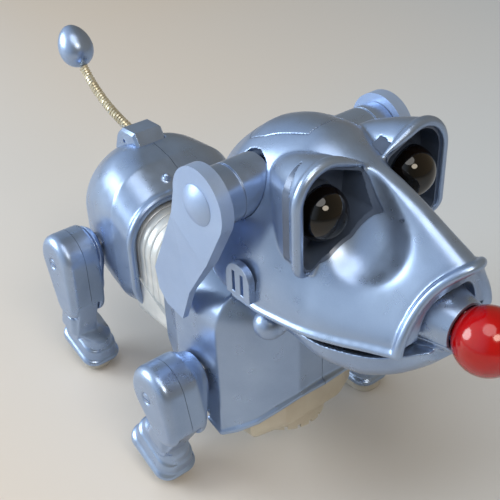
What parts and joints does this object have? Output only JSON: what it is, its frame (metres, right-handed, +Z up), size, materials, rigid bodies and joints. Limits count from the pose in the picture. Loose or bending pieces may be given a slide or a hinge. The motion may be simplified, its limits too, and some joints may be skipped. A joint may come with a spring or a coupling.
{
  "type": "robot dog toy",
  "caption": "Walking robot dog toy with a turning head, hinged jaw, swinging ears, domed eyes, ball nose, ribbed waist, sprung tail and jointed boot-like legs.",
  "frame": {"origin": "on the floor below the middle of the length and width", "axes": "+X towards the nose, +Y towards the dog's left, +Z up"},
  "size_m": [0.3309, 0.156, 0.2054],
  "materials": {
    "silver_blue": "satin metallic paint",
    "spring_steel": "bright coil",
    "pearl_plastic": "pearl",
    "cream_plastic": "satin",
    "dark_plastic": "matte",
    "cell_wrap": "printed sleeve, blank",
    "motor_can": "plain",
    "board_green": "solder mask",
    "steel": "turned",
    "slate_plastic": "satin",
    "dark_lens": "gloss",
    "red_gloss": "gloss",
    "ear_plastic": "satin metallic paint",
    "cream_sole": "matte"
  },
  "bodies": {
    "body": {"rear_shell_right": "silver_blue", "rear_shell_left": "silver_blue", "tail_mount": "silver_blue", "waist_bellows": "pearl_plastic", "chest_shell_right": "silver_blue", "chest_shell_left": "silver_blue", "belly_pan": "cream_plastic", "speaker_grille": "cream_plastic", "speaker": "dark_plastic", "battery_door": "cream_plastic", "batteries": "cell_wrap", "chassis": "dark_plastic", "gearbox_rear": "dark_plastic", "gearbox_front": "dark_plastic", "drive_motor": "motor_can", "neck_motor": "dark_plastic", "circuit_board": "board_green", "hip_bushes": "steel", "neck_collar": "silver_blue"},
    "thigh_front_right": {"thigh_outer_front_right": "silver_blue", "thigh_inner_front_right": "silver_blue"},
    "shank_front_right": {"shin_front_right": "silver_blue", "sole_front_right": "cream_sole"},
    "thigh_front_left": {"thigh_outer_front_left": "silver_blue", "thigh_inner_front_left": "silver_blue"},
    "shank_front_left": {"shin_front_left": "silver_blue", "sole_front_left": "cream_sole"},
    "thigh_rear_right": {"thigh_outer_rear_right": "silver_blue", "thigh_inner_rear_right": "silver_blue"},
    "shank_rear_right": {"shin_rear_right": "silver_blue", "sole_rear_right": "cream_sole"},
    "thigh_rear_left": {"thigh_outer_rear_left": "silver_blue", "thigh_inner_rear_left": "silver_blue"},
    "shank_rear_left": {"shin_rear_left": "silver_blue", "sole_rear_left": "cream_sole"},
    "tail": {"tail_spring": "spring_steel", "tail_tip": "silver_blue"},
    "head": {"neck_post": "cream_plastic", "head_shell": "silver_blue", "head_panel": "silver_blue", "head_base": "dark_plastic", "eye_cup_right": "slate_plastic", "eye_cup_left": "slate_plastic", "eye_lens_right": "dark_lens", "eye_lens_left": "dark_lens", "snout_cone": "silver_blue", "nose_ball": "red_gloss", "cheek_vent_right": "silver_blue", "cheek_vent_left": "silver_blue", "ear_post_right": "silver_blue", "ear_post_left": "silver_blue", "jaw_pin": "steel"},
    "ears": {"ear_flap_right": "ear_plastic", "ear_flap_left": "ear_plastic", "ear_cap_right": "ear_plastic", "ear_cap_left": "ear_plastic", "ear_shaft": "steel"},
    "jaw": {"jaw_shell": "silver_blue"},
    "switch": {"power_switch": "dark_plastic"}
  },
  "joints": [
    {"name": "head_turn", "type": "hinge", "parent": "body", "child": "head", "pos_m": [0.035, 0, 0.1], "axis": [0, 0, 1], "range_deg": [-5, 5]},
    {"name": "jaw_open", "type": "hinge", "parent": "head", "child": "jaw", "pos_m": [0.063, 0, 0.124], "axis": [0, 1, 0], "range_deg": [0, 14]},
    {"name": "ear_swing", "type": "hinge", "parent": "head", "child": "ears", "pos_m": [0.042, 0, 0.177], "axis": [0, 1, 0], "range_deg": [-15, 60]},
    {"name": "tail_sway", "type": "hinge", "parent": "body", "child": "tail", "pos_m": [-0.094, 0, 0.1405], "axis": [0.2419, 0, 0.9703], "range_deg": [-12, 12], "stiffness_Nm_per_rad": 0.02},
    {"name": "switch_slide", "type": "slide", "parent": "body", "child": "switch", "axis": [1, 0, 0], "range_m": [-0.003, 0.003]},
    {"name": "hip_front_right", "type": "hinge", "parent": "body", "child": "thigh_front_right", "pos_m": [0.019, -0.067, 0.0675], "axis": [0, 1, 0], "range_deg": [-12, 12]},
    {"name": "knee_front_right", "type": "hinge", "parent": "thigh_front_right", "child": "shank_front_right", "pos_m": [0.0275, -0.067, 0.05278], "axis": [0, 1, 0], "range_deg": [-12, 12]},
    {"name": "hip_front_left", "type": "hinge", "parent": "body", "child": "thigh_front_left", "pos_m": [0.019, 0.067, 0.0675], "axis": [0, 1, 0], "range_deg": [-12, 12]},
    {"name": "knee_front_left", "type": "hinge", "parent": "thigh_front_left", "child": "shank_front_left", "pos_m": [0.0275, 0.067, 0.05278], "axis": [0, 1, 0], "range_deg": [-12, 12]},
    {"name": "hip_rear_right", "type": "hinge", "parent": "body", "child": "thigh_rear_right", "pos_m": [-0.092, -0.054, 0.084], "axis": [0, 1, 0], "range_deg": [-12, 12]},
    {"name": "knee_rear_right", "type": "hinge", "parent": "thigh_rear_right", "child": "shank_rear_right", "pos_m": [-0.08748, -0.054, 0.0584], "axis": [0, 1, 0], "range_deg": [-12, 12]},
    {"name": "hip_rear_left", "type": "hinge", "parent": "body", "child": "thigh_rear_left", "pos_m": [-0.092, 0.054, 0.084], "axis": [0, 1, 0], "range_deg": [-12, 12]},
    {"name": "knee_rear_left", "type": "hinge", "parent": "thigh_rear_left", "child": "shank_rear_left", "pos_m": [-0.08748, 0.054, 0.0584], "axis": [0, 1, 0], "range_deg": [-12, 12]}
  ],
  "couplings": [
    {"joint": "knee_front_right", "follows": "hip_front_right", "ratio": -1},
    {"joint": "hip_front_left", "follows": "hip_front_right", "ratio": -1},
    {"joint": "knee_front_left", "follows": "hip_front_right", "ratio": 1},
    {"joint": "hip_rear_right", "follows": "hip_front_right", "ratio": -1},
    {"joint": "knee_rear_right", "follows": "hip_front_right", "ratio": 1},
    {"joint": "hip_rear_left", "follows": "hip_front_right", "ratio": 1},
    {"joint": "knee_rear_left", "follows": "hip_front_right", "ratio": -1}
  ]
}
